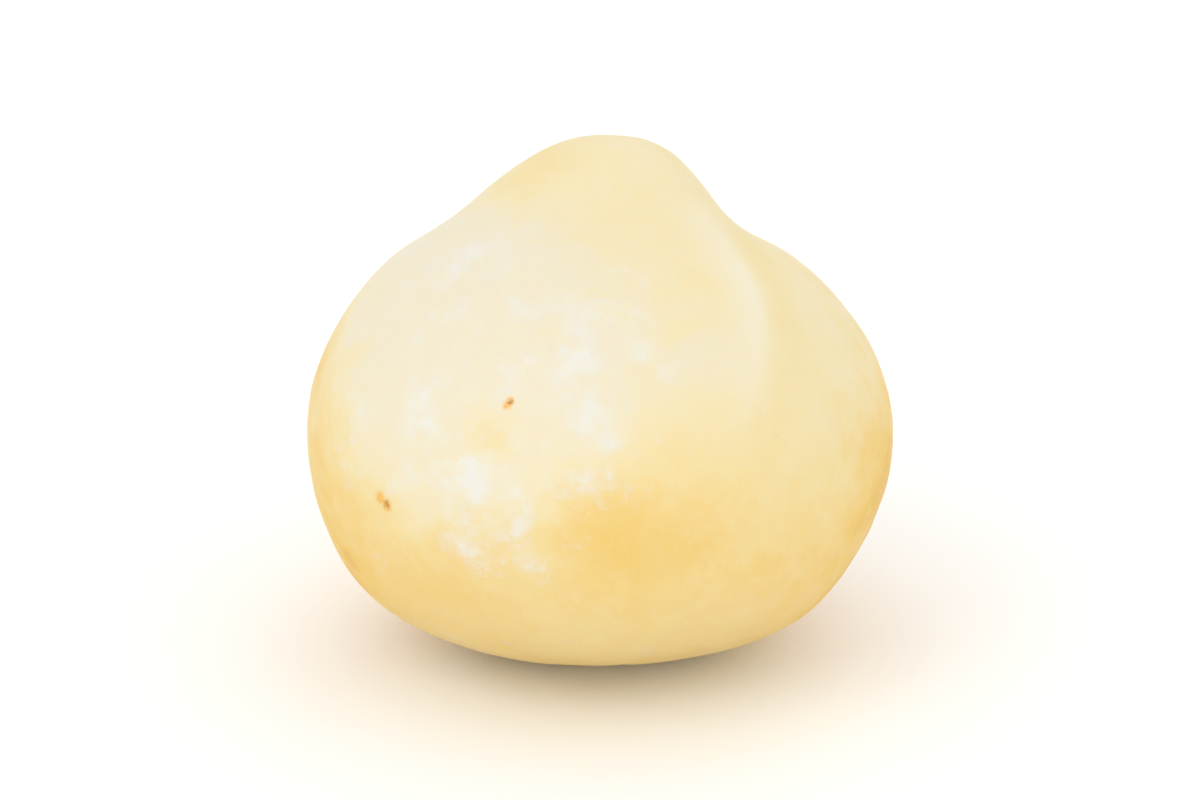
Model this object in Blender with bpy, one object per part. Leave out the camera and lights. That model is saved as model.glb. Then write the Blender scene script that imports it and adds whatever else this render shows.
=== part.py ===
"""A shelled macadamia kernel: one solid, in metres, +Z up, resting on the small flat spot under it.

The tip leans back, towards +Y, and the front faces -Y. The kernel's own frame has its +Z along
the axis to the tip. A place on the kernel is given by two angles there: turn, round the axis
from the front towards the right, and drop, down from the tip. The surface is one radius for
each direction from the middle of the body.
"""

import math

import bmesh
import bpy
import numpy as np
from mathutils import Matrix, Vector, noise

MM = 0.001

# The body, from its middle
WIDTH = 18.5 * MM
DEPTH = 17.6 * MM
CROWN = 7.4 * MM
BASE = 7.5 * MM

# The blunt tip, above the dome that the body would have without it
TIP_RISE = 2.0 * MM
TIP_LEAN = math.radians(3.0)
TIP_SPREAD = math.radians(21.5)
TIP_BLUNTNESS = 2.6

# The crest where the two seed leaves meet, which runs down from the tip in front and behind
SEAM_TURN = math.radians(27.0)
CREST_HEIGHT = 0.16 * MM
CREST_INNER_WIDTH = 2.2 * MM
CREST_OUTER_WIDTH = 1.1 * MM
CREST_START, CREST_FULL = math.radians(16.0), math.radians(38.0)
CREST_FADE, CREST_END = math.radians(60.0), math.radians(100.0)
CREST_OFFSET = 1.9 * MM
CREST_AWAY = math.radians(36.0)
CREST_BACK, CREST_JOINED = math.radians(55.0), math.radians(100.0)
CREST_BACK_SHARE = 0.6

# Swells and hollows of the body: turn and drop of the middle, spread, all in degrees, and height
SWELLS = {
    "left slope of the tip": (-90, 22, 12, 0.50 * MM),
    "left shoulder": (-90, 45, 22, 0.28 * MM),
    "saddle beside the tip": (95, 33, 9, -0.16 * MM),
    "right haunch": (88, 131, 19, 0.39 * MM),
    "left haunch": (-87, 126, 22, 0.41 * MM),
    "flatter back": (175, 78, 34, -0.28 * MM),
    "low back": (180, 138, 22, -0.40 * MM),
    "front cheek": (-28, 78, 20, -0.07 * MM),
    "back dent": (-140, 105, 13, -0.14 * MM),
    "dimple at the base": (20, 178, 15, -0.18 * MM),
}

# Slow unevenness all over, with a finer layer
LUMP_LENGTH = 5.2 * MM
LUMP_HEIGHT = 0.09 * MM
LUMP_PLACE = Vector((3.1, 7.4, 1.7))
LUMP_FINER, LUMP_FINER_SHARE = 2.3, 0.4

# How it lies
TILT_BACK = math.radians(20.0)
REST_DEPTH = 0.15 * MM
REST_ROUNDING = 0.04 * MM

# Squares along each edge of the cube that the mesh grows from
GRID = 28

KERNEL_COLOUR = (0.905, 0.770, 0.450, 1.0)
KERNEL_ROUGHNESS = 0.5


def clear_scene():
    for thing in list(bpy.data.objects):
        bpy.data.objects.remove(thing, do_unlink=True)


def smooth_step(low, high, value):
    """0 below low, 1 above high, and a smooth rise between them."""
    share = np.clip((value - low) / (high - low), 0.0, 1.0)
    return share * share * (3.0 - 2.0 * share)


def toward(turn, drop):
    """The unit direction with this turn and drop."""
    return np.array((math.sin(drop) * math.sin(turn), -math.sin(drop) * math.cos(turn), math.cos(drop)))


def angle_from(directions, middle):
    """The angle between each direction and the one in the middle."""
    return np.arccos(np.clip(directions @ middle, -1.0, 1.0))


def body_radius(directions):
    """An egg of three widths, whose crown and base differ in height."""
    height = np.where(directions[:, 2] > 0.0, CROWN, BASE)
    shares = (directions[:, 0] / (WIDTH / 2), directions[:, 1] / (DEPTH / 2), directions[:, 2] / height)
    return 1.0 / np.linalg.norm(shares, axis=0)


def tip_rise(directions):
    """The blunt tip, which leans a little to the right of the axis."""
    away = angle_from(directions, toward(math.radians(90.0), TIP_LEAN))
    return TIP_RISE * np.exp(-((away / TIP_SPREAD) ** TIP_BLUNTNESS))


def crest_rise(directions, radius):
    """A soft crest along the seam, steeper on its outer side, from the tip to the middle of the body."""
    across = np.array((math.cos(SEAM_TURN), math.sin(SEAM_TURN), 0.0))
    along = np.array((math.sin(SEAM_TURN), -math.cos(SEAM_TURN), 0.0))
    drop = np.arccos(np.clip(directions[:, 2], -1.0, 1.0))
    front = directions @ along > 0.0
    offset = CREST_OFFSET * smooth_step(0.0, CREST_AWAY, drop) * (1.0 - smooth_step(CREST_BACK, CREST_JOINED, drop))
    aside = (directions @ across) * radius - np.where(front, offset, -offset * CREST_BACK_SHARE)
    outer = np.where(front, aside > 0.0, aside < 0.0)
    width = np.where(outer, CREST_OUTER_WIDTH, CREST_INNER_WIDTH)
    length = smooth_step(CREST_START, CREST_FULL, drop) * (1.0 - smooth_step(CREST_FADE, CREST_END, drop))
    share = np.where(front, 1.0, CREST_BACK_SHARE)
    return CREST_HEIGHT * share * length * np.exp(-((aside / width) ** 2))


def swells(directions):
    """The sum of the swells and hollows."""
    total = np.zeros(len(directions))
    for turn, drop, spread, height in SWELLS.values():
        middle = toward(math.radians(turn), math.radians(drop))
        total += height * np.exp(-((angle_from(directions, middle) / math.radians(spread)) ** 2))
    return total


def lumps(points):
    """Slow unevenness, from two layers of noise."""
    values = []
    for point in points:
        place = Vector(point) / LUMP_LENGTH + LUMP_PLACE
        values.append(noise.noise(place) + LUMP_FINER_SHARE * noise.noise(place * LUMP_FINER))
    return LUMP_HEIGHT * np.array(values)


def surface(directions):
    """Points of the kernel's surface in its own frame, one for each unit direction."""
    radius = body_radius(directions) + tip_rise(directions) + swells(directions)
    radius += crest_rise(directions, radius)
    radius += lumps(directions * radius[:, None])
    return directions * radius[:, None]


def settle(points):
    """The points as the kernel lies: leant back, flattened underneath, and standing on the origin's plane."""
    laid = points @ np.array(Matrix.Rotation(-TILT_BACK, 3, "X")).T
    height = laid[:, 2] - laid[:, 2].min() - REST_DEPTH
    rounded = (height + REST_ROUNDING) ** 2 / (4.0 * REST_ROUNDING)
    low = np.where(height < -REST_ROUNDING, 0.0, rounded)
    laid[:, 2] = np.where(height < REST_ROUNDING, low, height)
    middle = (laid[:, :2].max(axis=0) + laid[:, :2].min(axis=0)) / 2.0
    laid[:, :2] -= middle
    return laid


def ball(grid):
    """A cube of grid by grid squares a side, and the unit direction of each of its vertices, evenly spread."""
    shape = bmesh.new()
    bmesh.ops.create_cube(shape, size=2.0)
    bmesh.ops.subdivide_edges(shape, edges=shape.edges[:], cuts=grid - 1, use_grid_fill=True)
    places = np.array([vertex.co[:] for vertex in shape.verts])
    evened = np.tan(places * (math.pi / 4.0))
    return shape, evened / np.linalg.norm(evened, axis=1)[:, None]


def kernel_material():
    material = bpy.data.materials.new("kernel")
    material.use_nodes = True
    shader = material.node_tree.nodes["Principled BSDF"]
    shader.inputs["Base Color"].default_value = KERNEL_COLOUR
    shader.inputs["Roughness"].default_value = KERNEL_ROUGHNESS
    shader.inputs["Metallic"].default_value = 0.0
    return material


def make_kernel():
    shape, directions = ball(GRID)
    for vertex, place in zip(shape.verts, settle(surface(directions)), strict=True):
        vertex.co = place
    bmesh.ops.triangulate(shape, faces=shape.faces[:])
    bmesh.ops.recalc_face_normals(shape, faces=shape.faces[:])
    mesh = bpy.data.meshes.new("kernel")
    shape.to_mesh(mesh)
    shape.free()
    mesh.shade_smooth()
    mesh.materials.append(kernel_material())
    kernel = bpy.data.objects.new("kernel", mesh)
    bpy.context.scene.collection.objects.link(kernel)
    return kernel


clear_scene()
make_kernel()
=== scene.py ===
import math

import bmesh
import bpy
import numpy as np
from mathutils import Matrix, Vector, noise


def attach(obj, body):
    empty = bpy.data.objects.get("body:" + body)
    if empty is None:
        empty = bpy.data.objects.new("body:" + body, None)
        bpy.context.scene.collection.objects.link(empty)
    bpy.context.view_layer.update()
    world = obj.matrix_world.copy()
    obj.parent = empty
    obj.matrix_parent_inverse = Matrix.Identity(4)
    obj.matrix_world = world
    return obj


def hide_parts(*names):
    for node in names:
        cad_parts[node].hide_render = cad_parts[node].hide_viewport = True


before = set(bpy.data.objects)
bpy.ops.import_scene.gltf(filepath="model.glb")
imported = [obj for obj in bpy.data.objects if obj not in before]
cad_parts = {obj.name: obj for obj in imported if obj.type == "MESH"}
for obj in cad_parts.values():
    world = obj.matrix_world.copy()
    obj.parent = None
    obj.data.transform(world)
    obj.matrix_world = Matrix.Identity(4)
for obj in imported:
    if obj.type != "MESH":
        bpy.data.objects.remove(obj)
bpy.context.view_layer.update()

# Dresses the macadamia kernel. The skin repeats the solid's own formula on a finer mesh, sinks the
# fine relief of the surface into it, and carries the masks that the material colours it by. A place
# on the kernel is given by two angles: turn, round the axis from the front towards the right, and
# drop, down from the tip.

MM = 0.001

# The body, from its middle
WIDTH = 18.5 * MM
DEPTH = 17.6 * MM
CROWN = 7.4 * MM
BASE = 7.5 * MM

# The blunt tip, above the dome that the body would have without it
TIP_RISE = 2.0 * MM
TIP_LEAN = math.radians(3.0)
TIP_SPREAD = math.radians(21.5)
TIP_BLUNTNESS = 2.6

# The crest where the two seed leaves meet, which runs down from the tip in front and behind
SEAM_TURN = math.radians(27.0)
CREST_HEIGHT = 0.16 * MM
CREST_INNER_WIDTH = 2.2 * MM
CREST_OUTER_WIDTH = 1.1 * MM
CREST_START, CREST_FULL = math.radians(16.0), math.radians(38.0)
CREST_FADE, CREST_END = math.radians(60.0), math.radians(100.0)
CREST_OFFSET = 1.9 * MM
CREST_AWAY = math.radians(36.0)
CREST_BACK, CREST_JOINED = math.radians(55.0), math.radians(100.0)
CREST_BACK_SHARE = 0.6

# Swells and hollows of the body: turn and drop of the middle, spread, all in degrees, and height
SWELLS = {
    "left slope of the tip": (-90, 22, 12, 0.50 * MM),
    "left shoulder": (-90, 45, 22, 0.28 * MM),
    "saddle beside the tip": (95, 33, 9, -0.16 * MM),
    "right haunch": (88, 131, 19, 0.39 * MM),
    "left haunch": (-87, 126, 22, 0.41 * MM),
    "flatter back": (175, 78, 34, -0.28 * MM),
    "low back": (180, 138, 22, -0.40 * MM),
    "front cheek": (-28, 78, 20, -0.07 * MM),
    "back dent": (-140, 105, 13, -0.14 * MM),
    "dimple at the base": (20, 178, 15, -0.18 * MM),
}

# Slow unevenness all over, with a finer layer
LUMP_LENGTH = 5.2 * MM
LUMP_HEIGHT = 0.09 * MM
LUMP_PLACE = Vector((3.1, 7.4, 1.7))
LUMP_FINER, LUMP_FINER_SHARE = 2.3, 0.4

# How it lies
TILT_BACK = math.radians(20.0)
REST_DEPTH = 0.15 * MM
REST_ROUNDING = 0.04 * MM

# Squares along each edge of the cube that the skin grows from
GRID = 128

# Layered noise of the skin: length, layers, place, and how smooth
WAVES = (2.3 * MM, 3, (6.0, 2.0, 5.0), 1.0)
GRAIN = (0.42 * MM, 2, (2.0, 9.0, 3.0), 1.0)
CLOUDS = (1.5 * MM, 4, (4.0, 1.0, 9.0), 0.8)
DRIFTS = (3.4 * MM, 3, (1.0, 8.0, 2.0), 1.0)

# Fine relief. The grain is faint where there is no chalk, and only some of the cells hold a pit.
WAVE_HEIGHT = 0.026 * MM
GRAIN_HEIGHT, GRAIN_LEAST = 0.010 * MM, 0.3
CHALK_THICKNESS = 0.012 * MM
CHALK_THIN, CHALK_THICK = 0.3, 0.6
PIT_CELL, PIT_WIDTH, PIT_DEPTH = 1.5 * MM, 0.30 * MM, 0.030 * MM
PIT_SHARE, PIT_SHUFFLE = 0.35, 7.3
GROOVE_WIDTH, GROOVE_DEPTH = 0.22 * MM, 0.022 * MM
GROOVE_START, GROOVE_FULL = math.radians(84.0), math.radians(120.0)
SPECK_PIT_SHARE, SPECK_PIT_DEPTH = 0.6, 0.05 * MM
RELIEF_FADE = 0.12 * MM

# The pale band on the seam, partly the seam's own pale line and partly painted highlight where the crest
# catches the light, wider on its lit inner side: its widths, its least paleness, and the drop where it
# is palest
BAND_INNER_WIDTH, BAND_OUTER_WIDTH = 0.90 * MM, 0.34 * MM
BAND_LEAST = 0.55
BAND_PALEST, BAND_SPREAD = math.radians(58.0), math.radians(15.0)

# Painted shade: a warmer, darker line beside the band, on its outer side, where the crest turns away
# from the light
SHADE_LINE_ASIDE, SHADE_LINE_WIDTH, SHADE_LINE_WARMTH = 1.3 * MM, 0.7 * MM, 0.10

# Chalky scuffs: turn and drop of the middle, spread, all in degrees, and strength
CHALK = (
    (-1, 84, 5, 0.64),
    (-3, 96, 4, 0.42),
    (2, 93, 4, 0.16),
    (-25, 95, 4.5, 0.52),
    (-35, 99, 5, 0.42),
    (-19, 95, 3, 0.14),
    (-16, 101, 4, 0.36),
    (-9, 108, 4, -0.20),
    (-20, 114, 5, 0.30),
    (-30, 114, 4, 0.30),
    (-22, 87, 5, -0.34),
    (-41, 84, 6, 0.30),
    (-54, 86, 7, 0.30),
    (-63, 81, 5, 0.22),
    (-59, 96, 4, 0.20),
    (-51, 101, 3, -0.14),
    (-68, 68, 5, 0.30),
    (9, 66, 5, 0.46),
    (16, 73, 4, 0.54),
    (20, 70, 3, 0.24),
    (20, 65, 3, -0.20),
    (-3, 61, 5, 0.44),
    (-4, 70, 5, 0.34),
    (9, 57, 5, 0.22),
    (9, 49, 7, 0.30),
    (-16, 59, 8, 0.26),
    (-10, 76, 9, 0.15),
    (-50, 42, 12, 0.30),
    (-76, 48, 9, 0.34),
    (-30, 40, 9, 0.22),
    (-14, 116, 5, 0.22),
    (-29, 108, 6, 0.22),
    (-46, 98, 6, 0.24),
    (-24, 90, 26, 0.26),
    (-34, 62, 26, 0.20),
    (98, 106, 7, 0.44),
    (106, 68, 8, 0.42),
    (112, 84, 6, 0.44),
    (140, 78, 10, 0.44),
    (129, 106, 9, 0.48),
    (152, 94, 8, 0.34),
    (176, 60, 15, 0.42),
    (170, 88, 9, 0.40),
    (-168, 110, 10, 0.42),
    (-112, 66, 10, 0.44),
    (-126, 92, 7, 0.50),
    (-104, 114, 7, 0.42),
    (-146, 84, 10, 0.42),
    (-150, 122, 10, 0.44),
    (160, 146, 14, 0.40),
    (-90, 150, 12, 0.36),
)
CHALK_CLOUDINESS = 0.22

# Paler and golden zones under the scuffs: turn and drop of the middle, reach to the edge, the edge's
# softness, how far the edge wanders, all in degrees, and what each adds to the warmth
ZONES = (
    (-30, 72, 34, 7, 0, -0.24),
    (-62, 48, 22, 7, 0, -0.22),
    (176, 64, 24, 14, 20, -0.12),
    # These two golden zones on the flanks are partly the flesh's own deeper gold and partly painted warm
    # bounce light and shade
    (117, 95, 48, 20, 12, 0.42),
    (-118, 102, 41, 22, 20, 0.40),
)
ZONE_RAGGEDNESS = math.radians(8.0)

# Warmth runs from 0, cream white, to 1, amber: its level above, what the lower part adds, how much
# it drifts, and the warmer and paler areas, given as the scuffs are
# What the lower part adds is partly the flesh's own deeper gold and partly painted shade: darker gold
# towards the bottom
WARMTH_LEVEL, LOW_GOLD_AND_SHADE, WARMTH_DRIFT = 0.27, 0.32, 0.07
LOW_START, LOW_FULL = math.radians(72.0), math.radians(126.0)
WARMTH = (
    (0, 107, 12, 0.17),
    (18, 105, 13, 0.11),
    (13, 48, 9, -0.06),
    (72, 64, 15, -0.09),
    (56, 82, 12, 0.05),
    (52, 112, 14, 0.04),
    # The next six warm the flanks, whose gold shows as a rim round the outline: partly the flesh's own
    # deeper gold, partly painted warm bounce light and shade
    (-88, 82, 11, 0.14),
    (-62, 102, 8, 0.08),
    (-60, 76, 9, 0.05),
    (80, 92, 11, 0.12),
    (78, 106, 11, 0.08),
    (-72, 116, 16, 0.08),
    (-23, 87, 5, 0.30),
    (-29, 101, 3, 0.20),
    (-12, 64, 3, 0.10),
    (-62, 87, 5, 0.08),
    (22, 66, 10, -0.18),
    (9, 58, 5, -0.12),
    (12, 77, 8, -0.08),
    (4, 89, 5, -0.08),
    (-16, 28, 9, -0.07),
    (16, 66, 2.5, 0.12),
    (21, 64, 2.5, 0.13),
    (26, 62, 2.5, 0.13),
    (60, 40, 9, 0.05),
    (-64, 14, 10, 0.12),
    (105, 13, 9, 0.14),
    (150, 118, 16, 0.10),
    (-145, 100, 10, 0.12),
)

# Small dark specks: turn and drop in degrees, width, how dark, and how far aside the stain's middle is
SPECKS = (
    (-19.0, 79.9, 0.20 * MM, 0.90, (-0.6, 0.7)),
    (-50.2, 102.2, 0.30 * MM, 0.50, (-1.5, -1.4)),
    (109, 95, 0.30 * MM, 1.0, (1.0, 0.8)),
    (146, 118, 0.46 * MM, 1.0, (0.8, -0.6)),
    (150, 110, 0.20 * MM, 0.8, (-0.6, 0.8)),
    (141, 124, 0.24 * MM, 0.9, (0.5, 0.9)),
    (158, 123, 0.32 * MM, 1.0, (-0.8, 0.4)),
    (171, 98, 0.18 * MM, 0.7, (0.9, 0.2)),
    (-164, 76, 0.22 * MM, 0.8, (0.6, -0.8)),
    (-133, 103, 0.34 * MM, 1.0, (0.5, 1.0)),
    (-130, 109, 0.18 * MM, 0.7, (-0.9, 0.4)),
    (-98, 62, 0.18 * MM, 0.5, (1.2, 0.8)),
)

# Hairline scratches: turn and drop of both ends, in degrees, width, and how white
SCRATCHES = (
    ((86, 70), (112, 84), 0.06 * MM, 0.40),
    ((172, 44), (150, 66), 0.06 * MM, 0.45),
    ((-140, 84), (-112, 96), 0.06 * MM, 0.40),
    ((-104, 108), (-86, 100), 0.05 * MM, 0.35),
)

# The flesh's looks in the bright light of the picture, 0 to 255: one for each of six warmths, then
# those of the marks on it
WARMTH_LOOKS = (
    (0.00, (242, 232, 205)),
    (0.25, (245, 230, 187)),
    (0.45, (245, 224, 165)),
    (0.63, (245, 214, 139)),
    (0.82, (243, 205, 108)),
    (1.00, (234, 184, 80)),
)
PORE_LOOK = (226, 186, 112)
# The seam band's look: the seam's own pale line with painted highlight of the lit crest
SEAM_PALE_AND_HIGHLIGHT_LOOK = (246, 238, 214)
WHITE_LOOK = (240, 239, 232)
STAIN_LOOK = (248, 190, 92)
SPECK_LOOK = (122, 62, 8)
PICTURE_LIGHT = 1.14

# Noise in the material: length, detail, roughness and distortion
CLOUD_NOISE = (1.0 * MM, 4.0, 0.62, 0.4)
WISP_NOISE = (0.34 * MM, 3.0, 0.6, 1.0)
GRAIN_NOISE = (0.07 * MM, 2.0, 0.6, 0.0)
SLOW_NOISE = (2.6 * MM, 3.0, 0.5, 0.0)
THREAD_NOISE = (1.3 * MM, 2.5, 0.5, 0.8)
SPECK_NOISE = (0.13 * MM, 2.0, 0.55, 0.0)
BREAK_NOISE = (0.5 * MM, 4.0, 0.55, 0.0)
WOBBLE_NOISE = (0.8 * MM, 2.0, 0.5, 0.0)

# How far noise moves the warmth and the chalk
WARMTH_BY_CLOUDS, WARMTH_BY_WISPS = 0.30, 0.12
CHALK_BY_CLOUDS, CHALK_BY_WISPS, CHALK_BY_GRAINS = 1.5, 0.6, 0.25

# Smooth rises in the material: where they start and end, and with what
BAND_RISE = (0.25, 0.6, 0.55, 0.85)
CHALK_RISE = (0.16, 0.95, 0.0, 0.92)
THREAD_EDGE = (0.004, 0.020, 0.3, 0.0)
THREAD_RISE = (0.15, 0.40, 0.0, 1.0)
BREAK_RISE = (0.38, 0.6, 0.0, 1.0)
PORE_SIZE_RISE = (0.55, 1.0, 0.0, 0.16)
ROUGHNESS_RISE = (0.0, 0.9, 0.46, 0.70)
GRAIN_RISE = (0.1, 0.7, 0.25, 1.0)

# Specks in the material, in widths of the speck: how ragged the dark middle and the stain beside it
# are, and where the middle, the stain round it and the stain beside it start and end to fade
SPECK_RAGGEDNESS, STAIN_RAGGEDNESS = 0.8, 1.2
SPECK_FADE, SPECK_END = 0.55, 1.05
ROUND_FADE, ROUND_END = 0.7, 1.5
BESIDE_FADE, BESIDE_END = 0.8, 1.7
STAIN_STRENGTH = 0.9

# Scratches in the material: the wobble, the fully white share of the width, the shares of the length
# where they are in full and where they start to fade, and how soon they show on their own side
SCRATCH_WOBBLE = 0.5 * MM
SCRATCH_CORE = 0.4
SCRATCH_FULL, SCRATCH_FADE = 0.2, 0.75
SCRATCH_SIDE = 1.0 * MM

# Pores
PORE_CELL, PORE_EDGE, PORE_STRENGTH = 0.5 * MM, 0.10, 0.16

# Gloss, glow from within, and fine bumps
FLESH_IOR, FLESH_SPECULAR = 1.46, 0.26
GLOW_WEIGHT, GLOW_RADIUS, GLOW_SCALE = 0.30, (1.0, 0.62, 0.30), 0.9 * MM
BUMP_BY_WISPS, BUMP_STRENGTH, BUMP_HEIGHT = 0.8, 0.35, 0.02 * MM

# Camera, whose picture the kernel fills to this share of its height
CAMERA_HEIGHT = math.radians(24.0)
CAMERA_DISTANCE = 600 * MM
FILL_OF_FRAME = 0.66
FRAME_SHAPE = 1200 / 800
SENSOR_WIDTH = 36.0

# Floor
FLOOR_SIZE = 6.0
FLOOR_COLOUR = (0.97, 0.97, 0.965, 1.0)
FLOOR_ROUGHNESS = 0.9

# Square soft lights, which face a point in the kernel: name, place, size and power
LIGHTS = (
    ("key", (-0.30, -0.30, 0.45), 0.35, 0.42),
    ("fill", (0.45, -0.30, 0.30), 0.40, 0.12),
    ("low fill", (-0.05, -0.50, 0.08), 0.30, 0.28),
    ("back fill", (0.20, 0.45, 0.40), 0.40, 0.22),
)
LIGHTS_AIM = Vector((0.0, 0.0, 0.008))
WORLD_COLOUR, WORLD_STRENGTH = (1.0, 1.0, 1.0, 1.0), 1.0


def clip_angle(value):
    """The angle with this cosine, which rounding may have put just past 1."""
    return np.arccos(np.clip(value, -1.0, 1.0))


def smooth_step(low, high, value):
    """0 below low, 1 above high, and a smooth rise between them."""
    share = np.clip((value - low) / (high - low), 0.0, 1.0)
    return share * share * (3.0 - 2.0 * share)


def bell(value, width):
    """1 where the value is 0, and a smooth fall on both sides of it."""
    return np.exp(-((value / width) ** 2))


def toward(turn, drop):
    """The unit direction with this turn and drop."""
    return np.array((math.sin(drop) * math.sin(turn), -math.sin(drop) * math.cos(turn), math.cos(drop)))


def toward_degrees(turn, drop):
    return toward(math.radians(turn), math.radians(drop))


def angle_from(directions, middle):
    """The angle between each direction and the one in the middle."""
    return clip_angle(directions @ middle)


def body_radius(directions):
    """An egg of three widths, whose crown and base differ in height."""
    height = np.where(directions[:, 2] > 0.0, CROWN, BASE)
    shares = (directions[:, 0] / (WIDTH / 2), directions[:, 1] / (DEPTH / 2), directions[:, 2] / height)
    return 1.0 / np.linalg.norm(shares, axis=0)


def tip_rise(directions):
    """The blunt tip, which leans a little to the right of the axis."""
    away = angle_from(directions, toward(math.radians(90.0), TIP_LEAN))
    return TIP_RISE * np.exp(-((away / TIP_SPREAD) ** TIP_BLUNTNESS))


def seam_places(directions, radius):
    """How far aside of the seam each direction is, outer side positive, and whether it is in front."""
    across = np.array((math.cos(SEAM_TURN), math.sin(SEAM_TURN), 0.0))
    along = np.array((math.sin(SEAM_TURN), -math.cos(SEAM_TURN), 0.0))
    drop = clip_angle(directions[:, 2])
    front = directions @ along > 0.0
    offset = CREST_OFFSET * smooth_step(0.0, CREST_AWAY, drop)
    offset *= 1.0 - smooth_step(CREST_BACK, CREST_JOINED, drop)
    aside = (directions @ across) * radius - np.where(front, offset, -offset * CREST_BACK_SHARE)
    return np.where(front, aside, -aside), front


def crest_length(drop):
    """How much of the crest's full height it has, this far down from the tip."""
    return smooth_step(CREST_START, CREST_FULL, drop) * (1.0 - smooth_step(CREST_FADE, CREST_END, drop))


def crest_rise(directions, radius):
    """A soft crest along the seam, steeper on its outer side, from the tip to the middle of the body."""
    aside, front = seam_places(directions, radius)
    width = np.where(aside > 0.0, CREST_OUTER_WIDTH, CREST_INNER_WIDTH)
    share = np.where(front, 1.0, CREST_BACK_SHARE)
    height = CREST_HEIGHT * share * crest_length(clip_angle(directions[:, 2]))
    return height * bell(aside, width)


def patches(directions, places):
    """The sum of soft round patches, each with its turn, drop, spread and strength."""
    total = np.zeros(len(directions))
    for turn, drop, spread, strength in places:
        away = angle_from(directions, toward_degrees(turn, drop))
        total += strength * bell(away, math.radians(spread))
    return total


def lumps(points):
    """Slow unevenness, from two layers of noise."""
    values = []
    for point in points:
        place = Vector(point) / LUMP_LENGTH + LUMP_PLACE
        values.append(noise.noise(place) + LUMP_FINER_SHARE * noise.noise(place * LUMP_FINER))
    return LUMP_HEIGHT * np.array(values)


def surface(directions):
    """Points of the kernel's surface in its own frame, one for each unit direction."""
    radius = body_radius(directions) + tip_rise(directions) + patches(directions, SWELLS.values())
    radius += crest_rise(directions, radius)
    radius += lumps(directions * radius[:, None])
    return directions * radius[:, None]


def settle(points):
    """The points as the kernel lies: leant back, flattened underneath, and on the origin's plane."""
    laid = points @ np.array(Matrix.Rotation(-TILT_BACK, 3, "X")).T
    height = laid[:, 2] - laid[:, 2].min() - REST_DEPTH
    rounded = (height + REST_ROUNDING) ** 2 / (4.0 * REST_ROUNDING)
    low = np.where(height < -REST_ROUNDING, 0.0, rounded)
    laid[:, 2] = np.where(height < REST_ROUNDING, low, height)
    middle = (laid[:, :2].max(axis=0) + laid[:, :2].min(axis=0)) / 2.0
    laid[:, :2] -= middle
    return laid


def ball(grid):
    """A cube of grid by grid squares a side, and each vertex's unit direction, evenly spread."""
    shape = bmesh.new()
    bmesh.ops.create_cube(shape, size=2.0)
    bmesh.ops.subdivide_edges(shape, edges=shape.edges[:], cuts=grid - 1, use_grid_fill=True)
    places = np.array([vertex.co[:] for vertex in shape.verts])
    evened = np.tan(places * (math.pi / 4.0))
    return shape, evened / np.linalg.norm(evened, axis=1)[:, None]


def layered(points, length, layers, start, smoothness):
    """Noise about 0 in layers, each twice as fine as the one before."""
    places = [Vector(point) / length + Vector(start) for point in points]
    return np.array([noise.fractal(place, smoothness, 2.0, layers) for place in places])


def pits(points):
    """0 away from the sparse small pits, and 1 in the middle of each."""
    depths = []
    for point in points:
        distances, middles = noise.voronoi(Vector(point) / PIT_CELL)
        chosen = noise.cell_vector(middles[0] * PIT_SHUFFLE)[0] < PIT_SHARE
        depths.append(distances[0] * PIT_CELL / PIT_WIDTH if chosen else 1.0)
    return 1.0 - smooth_step(0.0, 1.0, np.array(depths))


def skin_warmth(directions, points, clouds):
    """How warm the flesh is, without the painted shade line beside the seam's band."""
    drifts = layered(points, *DRIFTS)
    # The lower part's added warmth is partly painted shade
    warmth = WARMTH_LEVEL + LOW_GOLD_AND_SHADE * smooth_step(LOW_START, LOW_FULL, clip_angle(directions[:, 2]))
    warmth += patches(directions, WARMTH) + WARMTH_DRIFT * drifts
    for turn, drop, reach, softness, wander, change in ZONES:
        away = angle_from(directions, toward_degrees(turn, drop))
        away += ZONE_RAGGEDNESS * clouds + math.radians(wander) * drifts
        low, high = math.radians(reach - softness), math.radians(reach + softness)
        warmth += change * (1.0 - smooth_step(low, high, away))
    return warmth


def skin_masks(directions, points):
    """What the relief and the material need to know of each point, by name."""
    drop = clip_angle(directions[:, 2])
    aside, front = seam_places(directions, np.linalg.norm(points, axis=1))
    crest = np.where(front, 1.0, CREST_BACK_SHARE) * crest_length(drop)
    paleness_and_highlight = BAND_LEAST + (1.0 - BAND_LEAST) * bell(drop - BAND_PALEST, BAND_SPREAD)
    band_width = np.where(aside > 0.0, BAND_OUTER_WIDTH, BAND_INNER_WIDTH)
    clouds = layered(points, *CLOUDS)
    warmth = skin_warmth(directions, points, clouds)
    # Painted shade: the warmer line on the crest's outer side
    warmth += SHADE_LINE_WARMTH * crest * bell(aside - SHADE_LINE_ASIDE, SHADE_LINE_WIDTH)
    return {
        "chalk": np.clip(patches(directions, CHALK) + CHALK_CLOUDINESS * clouds, 0.0, 1.0),
        "warmth": np.clip(warmth, 0.0, 1.0),
        # The seam mask: the seam's own pale line, partly painted highlight where the crest catches the
        # light
        "seam": paleness_and_highlight * crest * bell(aside, band_width),
        "groove": smooth_step(GROOVE_START, GROOVE_FULL, drop) * bell(aside, GROOVE_WIDTH),
    }


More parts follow.
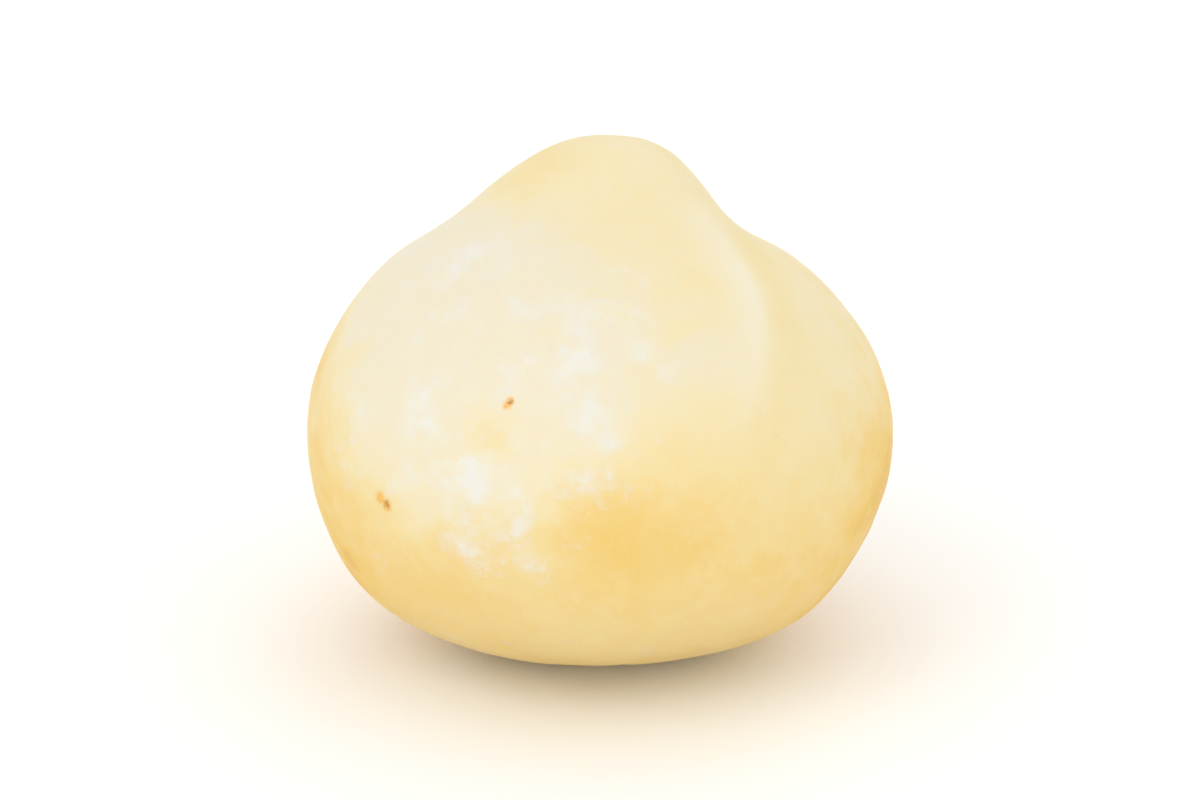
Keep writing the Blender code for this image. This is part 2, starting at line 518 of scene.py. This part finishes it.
def relief(directions, points, masks):
    """The height of the fine relief at each point, 0 at its highest, so that none leaves the solid."""
    radius = np.linalg.norm(points, axis=1)
    chalk = smooth_step(CHALK_THIN, CHALK_THICK, masks["chalk"])
    height = WAVE_HEIGHT * layered(points, *WAVES)
    height += GRAIN_HEIGHT * (GRAIN_LEAST + chalk) * layered(points, *GRAIN)
    height += CHALK_THICKNESS * chalk
    height -= PIT_DEPTH * pits(points)
    height -= GROOVE_DEPTH * masks["groove"]
    for turn, drop, width, dark, _ in SPECKS:
        away = angle_from(directions, toward_degrees(turn, drop)) * radius
        height -= SPECK_PIT_DEPTH * dark * bell(away, SPECK_PIT_SHARE * width)
    return height - height.max()


def mark_directions():
    """The directions of the material's marks: each speck and its stain, then each scratch's ends."""
    marks = []
    for turn, drop, _, _, (turn_aside, drop_aside) in SPECKS:
        marks += [(turn, drop), (turn + turn_aside, drop + drop_aside)]
    for start, end, _, _ in SCRATCHES:
        marks += [start, end]
    return np.array([toward_degrees(turn, drop) for turn, drop in marks])


def carve(mesh, places, heights):
    """Puts each vertex in its place, moved along its normal by its height."""
    normals = np.empty(len(places) * 3)
    mesh.vertex_normals.foreach_get("vector", normals)
    mesh.vertices.foreach_set("co", (places + normals.reshape(-1, 3) * heights[:, None]).ravel())


def make_skin():
    """The kernel's visible surface, with the masks that its material reads, and where its marks are."""
    shape, directions = ball(GRID)
    count = len(directions)
    plain = surface(np.vstack((directions, mark_directions())))
    laid = settle(plain)
    for vertex, place in zip(shape.verts, laid[:count], strict=True):
        vertex.co = place
    bmesh.ops.recalc_face_normals(shape, faces=shape.faces[:])
    mesh = bpy.data.meshes.new("kernel_skin")
    shape.to_mesh(mesh)
    shape.free()
    masks = skin_masks(directions, plain[:count])
    off_ground = smooth_step(0.0, RELIEF_FADE, laid[:count, 2])
    carve(mesh, laid[:count], relief(directions, plain[:count], masks) * off_ground)
    for name in ("chalk", "warmth", "seam"):
        mesh.attributes.new(name, "FLOAT", "POINT").data.foreach_set("value", masks[name])
    mesh.shade_smooth()
    mesh.update()
    skin = bpy.data.objects.new("kernel_skin", mesh)
    bpy.context.scene.collection.objects.link(skin)
    return skin, [Vector(place) for place in laid[count:]]


def flesh(look):
    """The flesh's own colour, by a screen's usual curve, from its look in the light of the picture."""
    shares = [((value / 255 + 0.055) / 1.055) ** 2.4 / PICTURE_LIGHT for value in look]
    return (*shares, 1.0)


class Nodes:
    """Adds nodes to one material and joins them."""

    def __init__(self, material):
        material.use_nodes = True
        self.tree = material.node_tree
        self.shader = self.tree.nodes["Principled BSDF"]

    def add(self, kind, inputs, **settings):
        """A node with these inputs, each a value or another node's output."""
        node = self.tree.nodes.new(kind)
        for name, value in settings.items():
            setattr(node, name, value)
        for name, value in inputs.items():
            self.put(node.inputs[name], value)
        return node

    def put(self, socket, value):
        if isinstance(value, bpy.types.NodeSocket):
            self.tree.links.new(value, socket)
        else:
            socket.default_value = value

    def math(self, operation, *values):
        node = self.tree.nodes.new("ShaderNodeMath")
        node.operation = operation
        for socket, value in zip(node.inputs, values):
            self.put(socket, value)
        return node.outputs[0]

    def mix(self, share, first, second):
        """A colour between the first and the second."""
        node = self.tree.nodes.new("ShaderNodeMix")
        node.data_type = "RGBA"
        self.put(node.inputs["Factor"], share)
        self.put(node.inputs[6], first)
        self.put(node.inputs[7], second)
        return node.outputs[2]

    def rise(self, value, low, high, start=0.0, end=1.0):
        """A smooth rise from start to end as the value goes from low to high."""
        inputs = {"Value": value, "From Min": low, "From Max": high, "To Min": start, "To Max": end}
        return self.add("ShaderNodeMapRange", inputs, interpolation_type="SMOOTHSTEP").outputs["Result"]

    def stir(self, value, swing, reach):
        """The value, moved up and down by noise, whose middle is one half."""
        return self.math("MULTIPLY_ADD", self.math("SUBTRACT", swing, 0.5), reach, value)

    def mask(self, name):
        return self.add("ShaderNodeAttribute", {}, attribute_name=name).outputs["Fac"]

    def vector_math(self, operation, first, second):
        node = self.add("ShaderNodeVectorMath", {0: first, 1: second}, operation=operation)
        return node.outputs["Value"]

    def distance(self, place, spot):
        return self.vector_math("DISTANCE", place, spot)

    def along(self, place, direction):
        return self.vector_math("DOT_PRODUCT", place, direction)

    def noise(self, place, length, detail, roughness, distortion):
        inputs = {
            "Vector": place,
            "Scale": 1.0 / length,
            "Detail": detail,
            "Roughness": roughness,
            "Distortion": distortion,
        }
        return self.add("ShaderNodeTexNoise", inputs).outputs["Fac"]


def speck_masks(nodes, place, marks):
    """Two masks: the specks' dark middles, and the orange stain round and beside each."""
    ragged = nodes.noise(place, *SPECK_NOISE)
    dark, stain = 0.0, 0.0
    for (_, _, width, darkness, _), middle, beside in zip(SPECKS, marks[::2], marks[1::2]):
        near = nodes.distance(place, middle)
        near = nodes.math("MULTIPLY_ADD", ragged, SPECK_RAGGEDNESS * width, near)
        aside = nodes.distance(place, beside)
        aside = nodes.math("MULTIPLY_ADD", ragged, STAIN_RAGGEDNESS * width, aside)
        spot = nodes.rise(near, SPECK_FADE * width, SPECK_END * width, darkness, 0.0)
        ring = nodes.rise(near, ROUND_FADE * width, ROUND_END * width, STAIN_STRENGTH, 0.0)
        halo = nodes.rise(aside, BESIDE_FADE * width, BESIDE_END * width, STAIN_STRENGTH, 0.0)
        dark = nodes.math("MAXIMUM", dark, spot)
        stain = nodes.math("MAXIMUM", nodes.math("MAXIMUM", stain, ring), halo)
    return dark, stain


def scratch_line(nodes, place, wobble, ends, width, whiteness):
    """One scratch, in the plane through its ends and the kernel's middle, on the ends' side of it."""
    start, end = ends
    middle = Vector((0.0, 0.0, CROWN))
    length = (end - start).length
    sideways = (start - middle).cross(end - middle).normalized()
    onward = (end - start).normalized()
    outward = (start + end - 2 * middle).normalized()
    aside = nodes.math("SUBTRACT", nodes.along(place, sideways), sideways.dot(middle))
    aside = nodes.math("ABSOLUTE", nodes.stir(aside, wobble, SCRATCH_WOBBLE))
    gone = nodes.math("SUBTRACT", nodes.along(place, onward), onward.dot(start))
    line = nodes.rise(aside, SCRATCH_CORE * width, width, whiteness, 0.0)
    line = nodes.math("MULTIPLY", line, nodes.rise(gone, 0.0, SCRATCH_FULL * length))
    line = nodes.math("MULTIPLY", line, nodes.rise(gone, SCRATCH_FADE * length, length, 1.0, 0.0))
    return nodes.math("MULTIPLY", line, nodes.rise(nodes.along(place, outward), 0.0, SCRATCH_SIDE))


def scratch_mask(nodes, place, marks):
    """All the hairline scratches, broken here and there."""
    broken = nodes.rise(nodes.noise(place, *BREAK_NOISE), *BREAK_RISE)
    wobble = nodes.noise(place, *WOBBLE_NOISE)
    ends = marks[2 * len(SPECKS) :]
    total = 0.0
    for (_, _, width, whiteness), start, end in zip(SCRATCHES, ends[::2], ends[1::2]):
        line = scratch_line(nodes, place, wobble, (start, end), width, whiteness)
        total = nodes.math("MAXIMUM", total, nodes.math("MULTIPLY", line, broken))
    return total


def pore_mask(nodes, place):
    """Fine pores, strewn thinly all over."""
    pores = nodes.add("ShaderNodeTexVoronoi", {"Vector": place, "Scale": 1.0 / PORE_CELL})
    chance = nodes.add("ShaderNodeSeparateColor", {"Color": pores.outputs["Color"]}).outputs["Red"]
    size = nodes.rise(chance, *PORE_SIZE_RISE)
    near = nodes.math("SUBTRACT", size, pores.outputs["Distance"])
    return nodes.rise(near, 0.0, PORE_EDGE)


def white_mask(nodes, place, marks, clouds, wisps, grains):
    """All that is chalky white: the scuffs, the threads at their edges, and the scratches."""
    ragged = nodes.stir(nodes.mask("chalk"), clouds, CHALK_BY_CLOUDS)
    ragged = nodes.stir(ragged, wisps, CHALK_BY_WISPS)
    ragged = nodes.stir(ragged, grains, CHALK_BY_GRAINS)
    chalk = nodes.rise(ragged, *CHALK_RISE)
    strands = nodes.math("SUBTRACT", nodes.noise(place, *THREAD_NOISE), 0.5)
    thread = nodes.rise(nodes.math("ABSOLUTE", strands), *THREAD_EDGE)
    thread = nodes.math("MULTIPLY", thread, nodes.rise(ragged, *THREAD_RISE))
    scratches = scratch_mask(nodes, place, marks)
    return nodes.math("MAXIMUM", chalk, nodes.math("MAXIMUM", thread, scratches))


def warm_colour(nodes, warmth):
    """The plain flesh's colour, by its warmth."""
    ramp = nodes.add("ShaderNodeValToRGB", {"Fac": warmth})
    for stop, (position, look) in enumerate(WARMTH_LOOKS):
        if stop > 1:
            ramp.color_ramp.elements.new(position)
        ramp.color_ramp.elements[stop].position = position
        ramp.color_ramp.elements[stop].color = flesh(look)
    return ramp.outputs["Color"]


def finish_flesh(nodes, colour, white, wisps, grains):
    """Gives the shader its colour, gloss, glow and fine bumps."""
    shader = nodes.shader
    nodes.put(shader.inputs["Base Color"], colour)
    nodes.put(shader.inputs["Roughness"], nodes.rise(white, *ROUGHNESS_RISE))
    shader.inputs["IOR"].default_value = FLESH_IOR
    shader.inputs["Specular IOR Level"].default_value = FLESH_SPECULAR
    shader.inputs["Subsurface Weight"].default_value = GLOW_WEIGHT
    shader.inputs["Subsurface Radius"].default_value = GLOW_RADIUS
    shader.inputs["Subsurface Scale"].default_value = GLOW_SCALE
    fine = nodes.math("MULTIPLY", grains, nodes.rise(nodes.mask("chalk"), *GRAIN_RISE))
    fine = nodes.math("MULTIPLY_ADD", wisps, BUMP_BY_WISPS, fine)
    inputs = {"Height": fine, "Strength": BUMP_STRENGTH, "Distance": BUMP_HEIGHT}
    nodes.put(shader.inputs["Normal"], nodes.add("ShaderNodeBump", inputs).outputs["Normal"])


def kernel_flesh(marks):
    """Waxy cream and gold flesh, scuffed chalky white in places."""
    material = bpy.data.materials.new("kernel_flesh")
    nodes = Nodes(material)
    place = nodes.add("ShaderNodeTexCoord", {}).outputs["Object"]
    clouds = nodes.noise(place, *CLOUD_NOISE)
    wisps = nodes.noise(place, *WISP_NOISE)
    grains = nodes.noise(place, *GRAIN_NOISE)
    slow = nodes.noise(place, *SLOW_NOISE)
    warmth = nodes.stir(nodes.mask("warmth"), clouds, WARMTH_BY_CLOUDS)
    warmth = nodes.stir(warmth, wisps, WARMTH_BY_WISPS)
    pores = nodes.math("MULTIPLY", pore_mask(nodes, place), PORE_STRENGTH)
    # The seam's pale band: partly its own pale line, partly painted highlight where the crest catches
    # the light
    band = nodes.math("MULTIPLY", nodes.mask("seam"), nodes.rise(slow, *BAND_RISE))
    white = white_mask(nodes, place, marks, clouds, wisps, grains)
    dark, stain = speck_masks(nodes, place, marks)
    colour = warm_colour(nodes, warmth)
    colour = nodes.mix(pores, colour, flesh(PORE_LOOK))
    colour = nodes.mix(band, colour, flesh(SEAM_PALE_AND_HIGHLIGHT_LOOK))
    colour = nodes.mix(white, colour, flesh(WHITE_LOOK))
    colour = nodes.mix(stain, colour, flesh(STAIN_LOOK))
    colour = nodes.mix(dark, colour, flesh(SPECK_LOOK))
    finish_flesh(nodes, colour, white, wisps, grains)
    return material


def plain_material(name, colour, roughness):
    material = bpy.data.materials.new(name)
    material.use_nodes = True
    shader = material.node_tree.nodes["Principled BSDF"]
    shader.inputs["Base Color"].default_value = colour
    shader.inputs["Roughness"].default_value = roughness
    return material


def make_floor():
    bpy.ops.mesh.primitive_plane_add(size=FLOOR_SIZE)
    floor = bpy.context.object
    floor.name = "floor"
    floor.data.materials.append(plain_material("floor", FLOOR_COLOUR, FLOOR_ROUGHNESS))


def add_light(name, place, size, power):
    """A square soft light that faces the kernel."""
    lamp = bpy.data.lights.new(name, "AREA")
    lamp.size = size
    lamp.energy = power
    light = bpy.data.objects.new(name, lamp)
    light.location = place
    light.rotation_euler = (LIGHTS_AIM - Vector(place)).to_track_quat("-Z", "Y").to_euler()
    bpy.context.scene.collection.objects.link(light)


def light_scene():
    world = bpy.data.worlds.new("studio")
    bpy.context.scene.world = world
    world.use_nodes = True
    background = world.node_tree.nodes["Background"]
    background.inputs["Color"].default_value = WORLD_COLOUR
    background.inputs["Strength"].default_value = WORLD_STRENGTH
    for name, place, size, power in LIGHTS:
        add_light(name, place, size, power)
    bpy.context.scene.view_settings.view_transform = "Standard"


def add_camera(skin):
    """Looks at the front from the photograph's height, from so far off that it hardly foreshortens."""
    look = Vector((0.0, math.cos(CAMERA_HEIGHT), -math.sin(CAMERA_HEIGHT)))
    upward = Vector((0.0, math.sin(CAMERA_HEIGHT), math.cos(CAMERA_HEIGHT)))
    heights = [vertex.co.dot(upward) for vertex in skin.data.vertices]
    lens = bpy.data.cameras.new("camera")
    lens.sensor_width = SENSOR_WIDTH
    frame_height = (max(heights) - min(heights)) / FILL_OF_FRAME
    lens.lens = SENSOR_WIDTH / FRAME_SHAPE * CAMERA_DISTANCE / frame_height
    camera = bpy.data.objects.new("camera", lens)
    camera.location = upward * (max(heights) + min(heights)) / 2 - look * CAMERA_DISTANCE
    camera.rotation_euler = look.to_track_quat("-Z", "Y").to_euler()
    bpy.context.scene.collection.objects.link(camera)
    bpy.context.scene.camera = camera


skin, marks = make_skin()
skin.data.materials.append(kernel_flesh(marks))
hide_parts("kernel")
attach(skin, "root")
make_floor()
light_scene()
add_camera(skin)
